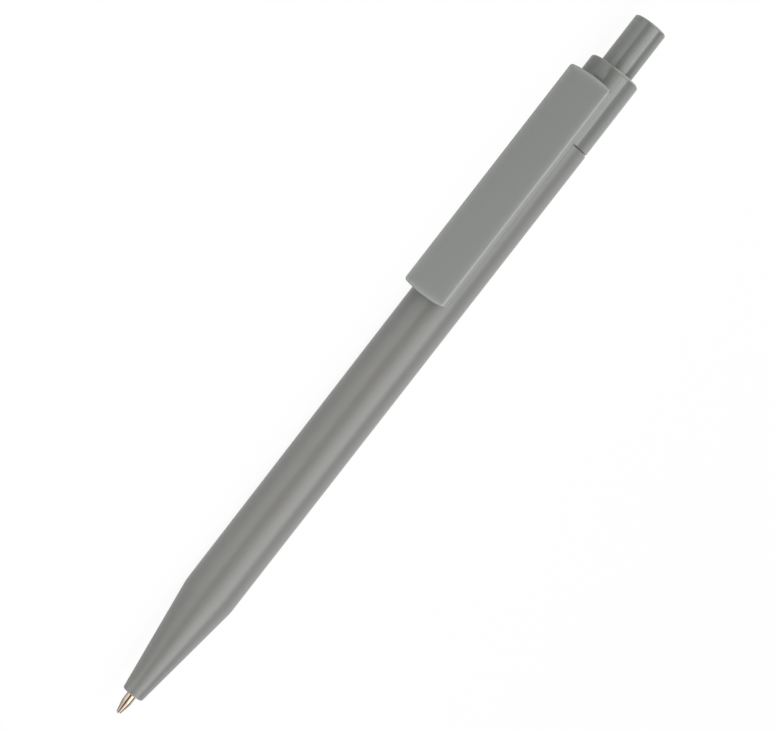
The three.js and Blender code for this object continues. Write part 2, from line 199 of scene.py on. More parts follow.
TIP_CONE = 2.05
TIP_NECK_RADIUS = 0.93
TIP_NECK_TAPER = 0.07
TIP_NECK = 3.3
TIP_SHANK_RADIUS = 1.15
TIP_SHANK = 4
TIP_CHAMFER = 0.3
TIP_COLLAR = 0.5
TIP_EDGE = 0.12
MENISCUS = 0.25

COLLAR_BASE = BARREL_LENGTH + SEAM
CEILING = COLLAR_TOP - COLLAR_TOP_WALL
SPIGOT_BED = MOUTH_RADIUS - MOUTH_WALL
SPIGOT_RADIUS = SPIGOT_BED - RUN_FIT
SLOT_RADIUS = SPIGOT_RADIUS - SPIGOT_WALL
RIB_RADIUS = BUTTON_RADIUS + RUN_FIT
CROWN_ROOT = CROWN_TIP + TOOTH
CLIP_BACK = COLLAR_RADIUS + CLIP_GAP
CLIP_FRONT = CLIP_BACK + CLIP_THICKNESS
FOOT_MIDDLE = CLIP_TOP - FOOT_SETBACK

# Fineness, in steps, and the least angle of a sharp edge, in degrees
ROUND = 144
SMALL_ROUND = 72
FILLET_STEPS = 8
THREAD_RINGS = 12
BOW_STEPS = 6
BEAD_STEPS = 24
SEAT_STEPS = 12
WIRE_TURN_STEPS = 32
WIRE_SIDES = 10
BALL_SPLITS = 4
CREASE = 32
WIRE_CREASE = 60
NO_CREASE = 180

# Limits of the outlines: points closer than this are one, in mm, two sizes closer than this are equal,
# a fillet takes up to this share of a side, and no corner is inset as if it were sharper than this
WELD = 1e-5
TINY = 1e-6
FILLET_ROOM = 0.49
LEAST_LEAN = 0.3


def outline(corners, steps=FILLET_STEPS):
    """Points of an outline whose corners (x, y, fillet) become arcs where a fillet is given."""
    points = []
    for i, corner in enumerate(corners):
        here = Vector(corner[:2])
        if len(corner) < 3:
            points.append(here)
            continue
        before = Vector(corners[i - 1][:2]) - here
        after = Vector(corners[(i + 1) % len(corners)][:2]) - here
        room = FILLET_ROOM * min(before.length, after.length)
        half = before.angle(after) / 2
        reach = min(corner[2] / math.tan(half), room)
        before.normalize()
        after.normalize()
        centre = here + (before + after).normalized() * reach / math.cos(half)
        start = here + before * reach - centre
        side = 1 if before.x * after.y - before.y * after.x > 0 else -1
        for k in range(steps + 1):
            turn = Matrix.Rotation(side * (2 * half - math.pi) * k / steps, 2)
            points.append(centre + turn @ start)
    return points


def arc(cx, cy, radius, start, end, steps):
    """Points of a circle's arc, both ends included."""
    angles = [start + (end - start) * k / steps for k in range(steps + 1)]
    return [(cx + radius * math.cos(a), cy + radius * math.sin(a)) for a in angles]


def finished(name, bm, body, node=None, material=None, crease=CREASE):
    """Mesh object from pen coordinates, laid in the row frame, smooth but for its sharp edges."""
    bmesh.ops.remove_doubles(bm, verts=bm.verts, dist=WELD)
    bmesh.ops.recalc_face_normals(bm, faces=bm.faces)
    bm.transform(TO_ROW)
    mesh = bpy.data.meshes.new(name)
    bm.to_mesh(mesh)
    bm.free()
    mesh.shade_smooth()
    mesh.set_sharp_from_angle(angle=math.radians(crease))
    piece = bpy.data.objects.new(name, mesh)
    bpy.context.collection.objects.link(piece)
    weighted = piece.modifiers.new("even_shading", "WEIGHTED_NORMAL")
    weighted.keep_sharp = True
    if material:
        mesh.materials.append(material)
    if body:
        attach(piece, body)
    if node:
        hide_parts(node)
    return piece


def turned(bm, profile, steps=ROUND, closed=True, radius_at=None):
    """Adds the profile (radius, y) turned round the y axis. An open profile starts and ends on the axis."""
    rings = []
    for radius, y in profile:
        if radius < TINY:
            rings.append([bm.verts.new((0, y, 0))] * steps)
            continue
        ring = []
        for k in range(steps):
            angle = 2 * math.pi * k / steps
            r = radius_at(radius, y, angle) if radius_at else radius
            ring.append(bm.verts.new((r * math.sin(angle), y, r * math.cos(angle))))
        rings.append(ring)
    pairs = list(zip(rings, rings[1:]))
    if closed:
        pairs.append((rings[-1], rings[0]))
    for lower, upper in pairs:
        for k in range(steps):
            corners = [lower[k], lower[(k + 1) % steps], upper[(k + 1) % steps], upper[k]]
            kept = [v for i, v in enumerate(corners) if v is not corners[i - 1]]
            if len(kept) > 2:
                bm.faces.new(kept)


def bent_block(bm, inner, outer, start, end, low, high, steps=ROUND):
    """Adds a block bent round the y axis whose ends are heights that depend on the angle."""
    count = round((end - start) / (2 * math.pi) * steps)
    whole = abs(end - start - 2 * math.pi) < TINY
    rows = []
    for k in range(count if whole else count + 1):
        angle = start + (end - start) * k / count
        x, z = math.sin(angle), math.cos(angle)
        bottom, top = low(angle), high(angle)
        corners = ((inner, bottom), (outer, bottom), (outer, top), (inner, top))
        rows.append([bm.verts.new((r * x, y, r * z)) for r, y in corners])
    for k in range(count):
        here, there = rows[k], rows[(k + 1) % len(rows)]
        for side in range(4):
            other = (side + 1) % 4
            bm.faces.new((here[side], there[side], there[other], here[other]))
    if not whole:
        bm.faces.new(rows[0])
        bm.faces.new(rows[-1])


def across_pen(bm, points, width, middle):
    """Adds a side outline (along the pen, out from it) drawn out across the pen to a width."""
    left = [bm.verts.new((-width / 2, middle + y, z)) for y, z in points]
    right = [bm.verts.new((width / 2, middle + y, z)) for y, z in points]
    bm.faces.new(left)
    bm.faces.new(right)
    for k in range(len(points)):
        other = (k + 1) % len(points)
        bm.faces.new((left[k], left[other], right[other], right[k]))


def tooth_wave(angle):
    """Height of the crown's teeth at an angle, from 0 at a root to 1 at a tip."""
    share = angle / (math.pi / GUIDES) % 1
    return 1 - abs(2 * share - 1)


# Materials

# Unevenness of the finishes: scales per metre, depth in mm, and ranges as shares of the mean
NOISE_RANGE = (0.3, 0.7)
FLOW_SCALE = 90
FLOW_GLOSS = (0.92, 1.08)
FLOW_SHADE = (0.985, 1.015)
CLOUD_SCALE = 1500
CLOUD_GLOSS = (0.8, 1.3)
TOOL_RING_SCALE = 9000
TOOL_RING_DEPTH = 0.0012

BARREL_GREY = (0.226, 0.229, 0.219)
HOUSING_GREY = (0.2, 0.214, 0.202)
CLIP_GREY = (0.205, 0.219, 0.205)
HARD_GLOSS = {"ior": 1.6, "specular": 0.95}

# Painted highlight on the edge of the clip's face: how much lighter it is at the edge, and the share of that
# which is left 1 mm inwards
PAINTED_RIM_LIGHT = 2.05
PAINTED_RIM_FADE = 0.08

# The tip's cone gets a painted shade, a darker and browner metal colour for its darker reflections. The
# shade starts behind the cone's back and is full on it, in mm from there
PAINTED_CONE_SHADE = (0.61, 0.49, 0.41)
CONE_SHADE_START = 0.5
CONE_SHADE_FULL = 0.2


def material(name, colour, roughness, metallic=0.0, ior=1.5):
    """Principled material and its node tree, shader and object coordinates."""
    made = bpy.data.materials.new(name)
    made.use_nodes = True
    tree = made.node_tree
    shader = tree.nodes["Principled BSDF"]
    shader.inputs["Base Color"].default_value = (*colour, 1)
    shader.inputs["Roughness"].default_value = roughness
    shader.inputs["Metallic"].default_value = metallic
    shader.inputs["IOR"].default_value = ior
    place = tree.nodes.new("ShaderNodeTexCoord").outputs["Object"]
    return made, tree, shader, place


def noise(tree, place, scale, detail=2):
    """Value from 0 to 1 that wanders from place to place."""
    node = tree.nodes.new("ShaderNodeTexNoise")
    node.inputs["Scale"].default_value = scale
    node.inputs["Detail"].default_value = detail
    tree.links.new(place, node.inputs["Vector"])
    return node.outputs["Fac"]


def separated(tree, place):
    """The x, y and z of a place."""
    node = tree.nodes.new("ShaderNodeSeparateXYZ")
    tree.links.new(place, node.inputs["Vector"])
    return node.outputs


def calculated(tree, operation, first, second):
    """Value of a Math node. Each of its inputs is a number or another node's output."""
    node = tree.nodes.new("ShaderNodeMath")
    node.operation = operation
    for socket, value in zip(node.inputs, (first, second)):
        if isinstance(value, (int, float)):
            socket.default_value = value
        else:
            tree.links.new(value, socket)
    return node.outputs["Value"]


def mapped(tree, value, start, end, low, high):
    """Maps a range of values onto another, held at both ends."""
    node = tree.nodes.new("ShaderNodeMapRange")
    node.inputs["From Min"].default_value = start
    node.inputs["From Max"].default_value = end
    node.inputs["To Min"].default_value = low
    node.inputs["To Max"].default_value = high
    tree.links.new(value, node.inputs["Value"])
    return node.outputs["Result"]


def mixed(tree, factor, first, second):
    """Mixes two colours by a value. Each of them is a colour or another node's output."""
    node = tree.nodes.new("ShaderNodeMix")
    node.data_type = "RGBA"
    tree.links.new(factor, node.inputs["Factor"])
    for name, colour in (("A", first), ("B", second)):
        if isinstance(colour, tuple):
            node.inputs[name].default_value = (*colour, 1)
        else:
            tree.links.new(colour, node.inputs[name])
    return node.outputs["Result"]


def vary(tree, shader, value, colours, roughness, shares):
    """Lets a noise vary the base colour between two shades and the roughness by shares of it."""
    low, high = (roughness * share for share in shares)
    tree.links.new(mapped(tree, value, *NOISE_RANGE, low, high), shader.inputs["Roughness"])
    tree.links.new(mixed(tree, value, *colours), shader.inputs["Base Color"])


def bump(tree, shader, height, depth):
    """Relief from a height of 0 to 1 and its depth in mm."""
    node = tree.nodes.new("ShaderNodeBump")
    node.inputs["Distance"].default_value = depth * MM
    node.inputs["Strength"].default_value = 1
    tree.links.new(height, node.inputs["Height"])
    tree.links.new(node.outputs["Normal"], shader.inputs["Normal"])


def shade(colour, factor):
    """A colour made darker or lighter."""
    return tuple(c * factor for c in colour)


def moulded(name, colour, roughness, grain, depth, ior=1.5, specular=0.5):
    """Moulded plastic: fine grain, slightly uneven gloss and a faint flow of the colour."""
    made, tree, shader, place = material(name, colour, roughness, ior=ior)
    shader.inputs["Specular IOR Level"].default_value = specular
    flow = noise(tree, place, FLOW_SCALE)
    vary(tree, shader, flow, [shade(colour, share) for share in FLOW_SHADE], roughness, FLOW_GLOSS)
    bump(tree, shader, noise(tree, place, 1 / (grain * MM), detail=3), depth)
    return made


def turned_metal(name, dark, light, roughness):
    """Polished turned metal with fine rings left by the tool."""
    made, tree, shader, place = material(name, light, roughness, metallic=1.0)
    vary(tree, shader, noise(tree, place, CLOUD_SCALE), (dark, light), roughness, CLOUD_GLOSS)
    rings = tree.nodes.new("ShaderNodeTexNoise")
    rings.noise_dimensions = "1D"
    rings.inputs["Scale"].default_value = TOOL_RING_SCALE
    rings.inputs["Detail"].default_value = 2
    tree.links.new(separated(tree, place)["X"], rings.inputs["W"])
    bump(tree, shader, rings.outputs["Fac"], TOOL_RING_DEPTH)
    return made


def places_in(made):
    """The x, y and z of a finished material's places in the row."""
    return separated(made.node_tree, made.node_tree.nodes["Texture Coordinate"].outputs["Object"])


def painted_clip_rim_light(made):
    """Mask of the painted highlight on the edge of the clip's face: 1 at the edge, fading inwards and down
    the bevel.
    """
    tree = made.node_tree
    places = places_in(made)

    def distance(direction, origin):
        """How far along one of the pen's axes a place lies, in mm."""
        total = -direction.dot(NOSE) / MM - origin
        for socket, part in zip(places, direction):
            total = calculated(tree, "ADD", calculated(tree, "MULTIPLY", socket, part / MM), total)
        return total

    half_width = CLIP_WIDTH / 2
    half_length = (CLIP_TOP - CLIP_END) / 2
    across = calculated(tree, "ABSOLUTE", distance(ACROSS, 0), 0)
    along = calculated(tree, "ABSOLUTE", distance(ALONG, CLIP_END + half_length), 0)
    squared = calculated(tree, "MULTIPLY", across, across)
    bow = calculated(tree, "MULTIPLY", squared, CLIP_SAG / half_width ** 2)
    to_side = calculated(tree, "SUBTRACT", half_width, across)
    to_end = calculated(tree, "SUBTRACT", calculated(tree, "SUBTRACT", half_length, along), bow)
    inside = calculated(tree, "MAXIMUM", calculated(tree, "MINIMUM", to_side, to_end), 0)
    height = mapped(tree, distance(OUT, CLIP_FRONT - CLIP_BEVEL), 0, CLIP_BEVEL, 0, 1)
    return calculated(tree, "MULTIPLY", calculated(tree, "POWER", PAINTED_RIM_FADE, inside), height)


def painted_cone_shade_mask(made):
    """Mask of the painted shade on the metal tip: 0 on its shank and 1 on its cone."""
    back = NOSE.x - (TIP_START + TIP_CONE) * MM
    x = places_in(made)["X"]
    return mapped(made.node_tree, x, back - CONE_SHADE_START * MM, back + CONE_SHADE_FULL * MM, 0, 1)


def mix_in(made, colour, factor):
    """Mixes another base colour into a material by a value."""
    tree = made.node_tree
    base = tree.nodes["Principled BSDF"].inputs["Base Color"]
    tree.links.new(mixed(tree, factor, base.links[0].from_socket, colour), base)


satin = moulded("satin_grey_plastic", BARREL_GREY, 0.31, grain=0.09, depth=0.0006, ior=1.58, specular=0.85)
gloss = moulded("gloss_grey_plastic", HOUSING_GREY, 0.11, grain=0.16, depth=0.0002, **HARD_GLOSS)
semi_matte = moulded("semi_matte_grey_plastic", CLIP_GREY, 0.252, grain=0.1, depth=0.0005, **HARD_GLOSS)
# Painted highlight along the edge of the clip's face
mix_in(semi_matte, shade(CLIP_GREY, PAINTED_RIM_LIGHT), painted_clip_rim_light(semi_matte))
natural = moulded("natural_white_plastic", (0.72, 0.71, 0.66), 0.42, grain=0.12, depth=0.002)
milky = moulded("milky_tube_plastic", (0.62, 0.65, 0.66), 0.3, grain=0.2, depth=0.001)
tip_metal = turned_metal("turned_tip_metal", (0.66, 0.56, 0.42), (0.84, 0.76, 0.62), 0.08)
# Painted shade on the tip's cone
mix_in(tip_metal, PAINTED_CONE_SHADE, painted_cone_shade_mask(tip_metal))
ball_metal = turned_metal("ground_ball_metal", (0.45, 0.38, 0.33), (0.6, 0.52, 0.46), 0.22)
spring_metal = turned_metal("drawn_spring_wire", (0.5, 0.51, 0.53), (0.68, 0.69, 0.71), 0.25)
ink_paste = moulded("ink_paste", (0.006, 0.012, 0.07), 0.15, grain=0.3, depth=0.001)
clear_grease = moulded("pale_grease", (0.62, 0.57, 0.38), 0.2, grain=0.3, depth=0.001)


# Pieces

def cone_station(radius):
    """Station where the inside of the cone has a radius."""
    return (radius + CONE_WALL - NOSE_RADIUS) * CONE_LENGTH / (CONE_RADIUS - NOSE_RADIUS)


def make_barrel():
    """Barrel and conical nose, one turned shell."""
    bm = bmesh.new()
    profile = outline([
        (NOSE_HOLE, 0, HOLE_EDGE),
        (NOSE_RADIUS, 0, NOSE_EDGE),
        (CONE_RADIUS, CONE_LENGTH, CONE_BLEND),
        (MOUTH_RADIUS, BARREL_LENGTH, MOUTH_EDGE),
        (SPIGOT_BED, BARREL_LENGTH, HOLE_EDGE),
        (SPIGOT_BED, SPIGOT_END - REST_GAP),
        (BORE_RADIUS, SPIGOT_END - REST_GAP),
        (BORE_RADIUS, cone_station(BORE_RADIUS)),
        (CHAMBER_RADIUS, cone_station(CHAMBER_RADIUS)),
        (CHAMBER_RADIUS, SPRING_SEAT),
        (GUIDE_RADIUS, SPRING_SEAT),
        (GUIDE_RADIUS, NOSE_HOLE_LENGTH + GUIDE_RADIUS - NOSE_HOLE),
        (NOSE_HOLE, NOSE_HOLE_LENGTH),
    ])
    turned(bm, profile)
    finished("barrel_shell", bm, "barrel", "barrel", satin)


def foot_outline(gap, top):
    """Side outline of the clip's foot and hooks, or of the pocket that takes them."""
    neck = FOOT_LENGTH / 2 + gap
    hook = neck + HOOK
    hook_top = COLLAR_RADIUS - POCKET_LIP - POCKET_GAP + gap
    hook_base = COLLAR_RADIUS - POCKET_LIP - POCKET_GAP - HOOK_THICKNESS - gap
    return [
        (-hook, hook_base), (hook, hook_base), (hook, hook_top), (neck, hook_top),
        (neck, top), (-neck, top), (-neck, hook_top), (-hook, hook_top),
    ]


def thread_radius(radius, y, angle):
    """Radius of the spigot's outside with its thread cut in."""
    start = SPIGOT_END + THREAD_PITCH
    along = (y - start) / THREAD_PITCH - angle / (2 * math.pi)
    if abs(radius - SPIGOT_RADIUS) > TINY or not 0 <= along <= THREAD_TURNS:
        return radius
    fade = min(1, 2 * along, 2 * (THREAD_TURNS - along))
    return radius - THREAD_DEPTH * fade * (0.5 - 0.5 * math.cos(2 * math.pi * along))


def make_housing():
    """Upper housing: collar, threaded spigot and pocket for the clip's foot in one, guide ribs inside."""
    bm = bmesh.new()
    rings = [
        (SPIGOT_RADIUS, SPIGOT_END + THREAD_PITCH * (0.5 + k / THREAD_RINGS))
        for k in range(THREAD_RINGS * (THREAD_TURNS + 2))
    ]
    lower = outline([(SLOT_RADIUS, SPIGOT_END), (SPIGOT_RADIUS, SPIGOT_END)])
    upper = outline([
        (SPIGOT_RADIUS, COLLAR_BASE),
        (COLLAR_RADIUS, COLLAR_BASE, MOUTH_EDGE),
        (COLLAR_RADIUS, COLLAR_TOP, COLLAR_TOP_EDGE),
        (RIB_RADIUS, COLLAR_TOP, COLLAR_BORE_EDGE),
        (RIB_RADIUS, CEILING),
        (SLOT_RADIUS, CEILING),
    ])
    turned(bm, lower + rings + upper, radius_at=thread_radius)
    piece = finished("housing_shell", bm, None, None, gloss)
    cutter_mesh = bmesh.new()
    pocket = foot_outline(POCKET_GAP, CLIP_BACK)
    across_pen(cutter_mesh, pocket, FOOT_WIDTH + 2 * POCKET_GAP, FOOT_MIDDLE)
    cutter = finished("pocket_cutter", cutter_mesh, None)
    cut(piece, cutter)
    ribs = bmesh.new()
    width = math.pi / GUIDES
    top = CEILING + COLLAR_TOP_WALL / 2
    for k in range(GUIDES):
        centre = 2 * math.pi * k / GUIDES
        start, end = centre - width / 2, centre + width / 2

        def ramp(angle, start=start):
            return CROWN_ROOT + TOOTH * (angle - start) / width

        bent_block(ribs, RIB_RADIUS, SLOT_RADIUS + RIB_SINK, start, end, ramp, lambda angle: top)
    finished("housing_guide_ribs", ribs, "housing", None, gloss)
    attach(piece, "housing")
    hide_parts("upper_housing")


def cut(piece, cutter):
    """Cuts one mesh from another and drops the cutter."""
    tool = piece.modifiers.new("cut", "BOOLEAN")
    tool.operation = "DIFFERENCE"
    tool.solver = "EXACT"
    tool.object = cutter
    shading = piece.modifiers["even_shading"]
    bpy.context.view_layer.update()
    shading.show_viewport = False
    bpy.context.view_layer.update()
    result = piece.evaluated_get(bpy.context.evaluated_depsgraph_get())
    mesh = bpy.data.meshes.new_from_object(result)
    shading.show_viewport = True
    piece.modifiers.remove(tool)
    piece.data = mesh
    mesh.set_sharp_from_angle(angle=math.radians(CREASE))
    bpy.data.objects.remove(cutter)


def inset(points, distance):
    """A closed convex outline moved inwards by a distance."""
    moved = []
    for i, here in enumerate(points):
        a = (here - points[i - 1]).normalized()
        b = (points[(i + 1) % len(points)] - here).normalized()
        normal = Vector((-(a.y + b.y), a.x + b.x)).normalized()
        lean = max(LEAST_LEAN, normal.dot(Vector((-a.y, a.x))))
        moved.append(here + normal * distance / lean)
    return moved


def make_clip():
    """Clip: plate with bowed ends and a bevelled face, hooked foot and the bead that rests on the barrel."""
    bm = bmesh.new()
    half = CLIP_WIDTH / 2
    bow = (half * half + CLIP_SAG * CLIP_SAG) / (2 * CLIP_SAG)
    swing = math.asin(half / bow)
    down, up = -math.pi / 2, math.pi / 2
    lower = arc(0, CLIP_END + bow, bow, down - swing, down + swing, BOW_STEPS)
    upper = arc(0, CLIP_TOP - bow, bow, up - swing, up + swing, BOW_STEPS)
    corners = lower + upper
    for i in (0, len(lower) - 1, len(lower), len(corners) - 1):
        corners[i] = (*corners[i], CLIP_CORNER)
    plan = outline(corners)
    rings = []
    for k in range(FILLET_STEPS + 1):
        turn = math.pi / 2 * k / FILLET_STEPS
        inward, rise = 1 - math.sin(turn), 1 - math.cos(turn)
        rings.append((CLIP_BACK_EDGE * inward, CLIP_BACK + CLIP_BACK_EDGE * rise))
    rings += [(0, CLIP_FRONT - CLIP_BEVEL), (CLIP_BEVEL, CLIP_FRONT)]
    loops = [[bm.verts.new((p.x, p.y, z)) for p in inset(plan, r)] for r, z in rings]
    bm.faces.new(loops[0])
    bm.faces.new(loops[-1])
    for here, there in zip(loops, loops[1:]):
        for k in range(len(here)):
            other = (k + 1) % len(here)
            bm.faces.new((here[k], here[other], there[other], there[k]))
    across_pen(bm, foot_outline(0, CLIP_BACK + CLIP_SINK), FOOT_WIDTH, FOOT_MIDDLE)
    bead_middle = CLIP_END + BEAD_SETBACK
    share = (bead_middle - CONE_LENGTH) / (BARREL_LENGTH - CONE_LENGTH)
    bead_low = CONE_RADIUS + (MOUTH_RADIUS - CONE_RADIUS) * share + BEAD_GAP
    bead_swing = math.acos((bead_low + BEAD_RADIUS - CLIP_BACK - CLIP_SINK) / BEAD_RADIUS)
    bead = arc(0, bead_low + BEAD_RADIUS, BEAD_RADIUS, down - bead_swing, down + bead_swing, BEAD_STEPS)
    across_pen(bm, bead, CLIP_WIDTH - 2 * BEAD_MARGIN, bead_middle)
    finished("clip_plate", bm, "clip", "clip", semi_matte)


def lugs(bm, inner, base, top, rise):
    """Adds the lugs that run in the housing's guide slots."""
    width = math.pi / GUIDES - 2 * LUG_SIDE_GAP
    for k in range(GUIDES):
        centre = (2 * k + 1) * math.pi / GUIDES
        start, end = centre - width / 2, centre + width / 2

        def ramp(angle, end=end):
            return top - rise * (end - angle) / width

        bent_block(bm, inner, LUG_RADIUS, start, end, lambda angle: base, ramp)


def make_button():
    """Push button: cap with crown teeth and lugs."""
    bm = bmesh.new()
    profile = outline([
        (BUTTON_BORE, CROWN_ROOT),
        (BUTTON_RADIUS, CROWN_ROOT),
        (BUTTON_RADIUS, BUTTON_TOP, BUTTON_EDGE),
        (0, BUTTON_TOP),
        (0, BUTTON_TOP - BUTTON_ROOF),
        (BUTTON_BORE, BUTTON_TOP - BUTTON_ROOF, BUTTON_BORE_EDGE),
    ])
    turned(bm, profile)

    def crown(angle):
        return CROWN_ROOT - TOOTH * tooth_wave(angle)

    edge = BUTTON_RADIUS - 3 * RUN_FIT
    bent_block(bm, BUTTON_BORE + RUN_FIT, edge, 0, 2 * math.pi, crown, lambda angle: CROWN_ROOT + TOOTH)
    lug_base = CROWN_ROOT + BUTTON_SKIRT
    lugs(bm, BUTTON_BORE + 2 * RUN_FIT, lug_base, lug_base + BUTTON_LUG, 0)
    finished("button_cap", bm, "button", "push_button", gloss)


def make_rotor():
    """Cam rotor: sleeve over the refill, ramps, lugs and a pin in the button."""
    bm = bmesh.new()
    top = PIN_END - ROTOR_PIN
    lug_base = top - ROTOR_LUG
    pin = BUTTON_BORE - 2 * RUN_FIT
    body = BUTTON_RADIUS - RUN_FIT
    socket = TUBE_RADIUS + RUN_FIT
    profile = outline([
        (socket, ROTOR_END, ROTOR_SOCKET_EDGE),
        (ROTOR_SLEEVE, ROTOR_END, ROTOR_SLEEVE_EDGE),
        (ROTOR_SLEEVE, lug_base),
        (body, lug_base),
        (body, top),
        (pin, top),
        (pin, PIN_END, ROTOR_PIN_EDGE),
        (0, PIN_END),
        (0, ROTOR_END + ROTOR_SOCKET),
        (socket, ROTOR_END + ROTOR_SOCKET),
    ])
    turned(bm, profile)

    def ramps(angle):
        return top + TOOTH * (1 - tooth_wave(angle))

    play = 2 * RUN_FIT
    bent_block(bm, pin - play, body - play, 0, 2 * math.pi, lambda angle: top - TOOTH, ramps)
    lugs(bm, body - RUN_FIT, lug_base, top + TOOTH, TOOTH)
    finished("rotor_cam", bm, "button", "cam_rotor", natural)


def make_spring():
    """Compression spring that stretches between the barrel's ledge and the refill's ears."""
    bm = bmesh.new()
    middle_radius = SPRING_REACH - WIRE
    end_rise = SPRING_END_TURNS * SPRING_END_PITCH
    middle_turns = SPRING_TURNS - 2 * SPRING_END_TURNS
    pitch = (SPRING_END - SPRING_START - 2 * WIRE - 2 * end_rise) / middle_turns
    rings = []
    for k in range(SPRING_TURNS * WIRE_TURN_STEPS + 1):
        turn = k / WIRE_TURN_STEPS
        angle = 2 * math.pi * turn
        inner_turns = min(max(turn - SPRING_END_TURNS, 0), middle_turns)
        y = SPRING_START + WIRE + inner_turns * pitch + (turn - inner_turns) * SPRING_END_PITCH
        outward = Vector((math.cos(angle), 0, math.sin(angle)))
        centre = outward * middle_radius + Vector((0, y, 0))
        ring = []
        for j in range(WIRE_SIDES):
            a = 2 * math.pi * j / WIRE_SIDES
            side = math.cos(a) * outward + math.sin(a) * Vector((0, 1, 0))
            ring.append(bm.verts.new(centre + WIRE * side))
        rings.append(ring)
    for here, there in zip(rings, rings[1:]):
        for j in range(WIRE_SIDES):
            other = (j + 1) % WIRE_SIDES
            bm.faces.new((here[j], here[other], there[other], there[j]))
    bm.faces.new(rings[0])
    bm.faces.new(rings[-1])
    wire = finished("spring_wire", bm, None, "spring", spring_metal, crease=WIRE_CREASE)
    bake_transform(wire)


def make_tube():
    """Refill tube, pinched into two ears."""
    bm = bmesh.new()
    bore = TUBE_RADIUS - TUBE_WALL
    profile = outline([
        (bore, TUBE_START),
        (TUBE_RADIUS, TUBE_START, TUBE_EDGE),
        (TUBE_RADIUS, TUBE_END, TUBE_EDGE),
        (bore, TUBE_END, TUBE_EDGE),
    ])
    turned(bm, profile, SMALL_ROUND)
    ear = SPRING_END + REST_GAP
    for side in (-1, 1):
        root, edge = side * (bore + EAR_SINK), side * SPRING_REACH
        corners = [(root, ear), (edge, ear), (edge, ear + EAR_THICKNESS), (root, ear + EAR_LENGTH)]
        back = [bm.verts.new((x, y, -EAR_THICKNESS / 2)) for x, y in corners]
        front = [bm.verts.new((x, y, EAR_THICKNESS / 2)) for x, y in corners]
        bm.faces.new(back)
        bm.faces.new(front)
        for k in range(4):
            bm.faces.new((back[k], back[(k + 1) % 4], front[(k + 1) % 4], front[k]))
    finished("refill_tube_fine", bm, "refill", "refill_tube", milky)


def make_tip():
    """Refill tip: cone with the ball's seat, neck, shank and the collar in the tube."""
    bm = bmesh.new()
    centre = (BALL_END + BALL_TOP) / 2
    ball = (BALL_TOP - BALL_END) / 2
    socket = ball + SOCKET_PLAY
    opening = math.sqrt(ball ** 2 - LIP_FORWARD ** 2) + LIP_PLAY
    lip = TIP_START
    cone_end = lip + TIP_CONE
    neck_end = cone_end + TIP_NECK
    shank_end = neck_end + TIP_CHAMFER + TIP_SHANK
    collar = shank_end + TIP_CHAMFER
    seat_start = math.acos(FEED_RADIUS / socket)
    seat_end = -math.asin(LIP_FORWARD / (2 * socket))
    seat = arc(0, centre, socket, seat_start, seat_end, SEAT_STEPS)
    profile = outline([
        (opening, lip),
        (LIP_RADIUS, lip, LIP_EDGE),
        (TIP_NECK_RADIUS - TIP_NECK_TAPER, cone_end, TIP_EDGE),
        (TIP_NECK_RADIUS, neck_end),
        (TIP_SHANK_RADIUS, neck_end + TIP_CHAMFER),
        (TIP_SHANK_RADIUS, shank_end),
        (TUBE_RADIUS, collar),
        (TUBE_RADIUS, collar + TIP_COLLAR),
        (INK_RADIUS, collar + TIP_COLLAR),
        (INK_RADIUS, TIP_END),
        (WELL_RADIUS, TIP_END),
        (WELL_RADIUS, centre + WELL_DEPTH),
        (FEED_RADIUS, centre + FEED_DEPTH),
        *seat,
    ])
    turned(bm, profile, SMALL_ROUND)
    finished("tip_turned", bm, "refill", "refill_tip", tip_metal)


def make_ball():
    """Writing ball."""
    bm = bmesh.new()
    radius = (BALL_TOP - BALL_END) / 2
    bmesh.ops.create_icosphere(bm, subdivisions=BALL_SPLITS, radius=radius)
    bmesh.ops.translate(bm, verts=bm.verts, vec=(0, (BALL_END + BALL_TOP) / 2, 0))
    finished("ball_ground", bm, "ball", "writing_ball", ball_metal, crease=NO_CREASE)


def make_rod(name, node, start, end, paint):
    """A column in the refill's bore, with a hollow end."""
    bm = bmesh.new()
    hollow = end - MENISCUS
    profile = [(0, start), (INK_RADIUS, start), (INK_RADIUS, end), (INK_RADIUS / 2, hollow), (0, hollow)]
    turned(bm, profile, SMALL_ROUND, closed=False)
    finished(name, bm, "refill", node, paint)


make_barrel()
make_housing()
make_clip()
make_button()
make_rotor()
make_spring()
make_tube()
make_tip()
make_ball()
make_rod("ink_fill", "ink_column", INK_START, INK_END, ink_paste)
make_rod("grease_fill", "grease_plug", GREASE_START, GREASE_END, clear_grease)


# Camera, placed by the photograph's frame of 775 by 731 pixels

PHOTO_WIDTH = 775
PHOTO_HEIGHT = 731
PIXELS_PER_MM = 6.2
PEN_MIDDLE_PX = (384.46, 369.08)
PEN_TILT = math.radians(37.79)
CLIP_TURN = math.radians(21.3)
CAMERA_DISTANCE = 0.5
CAMERA_NEAR = 0.01


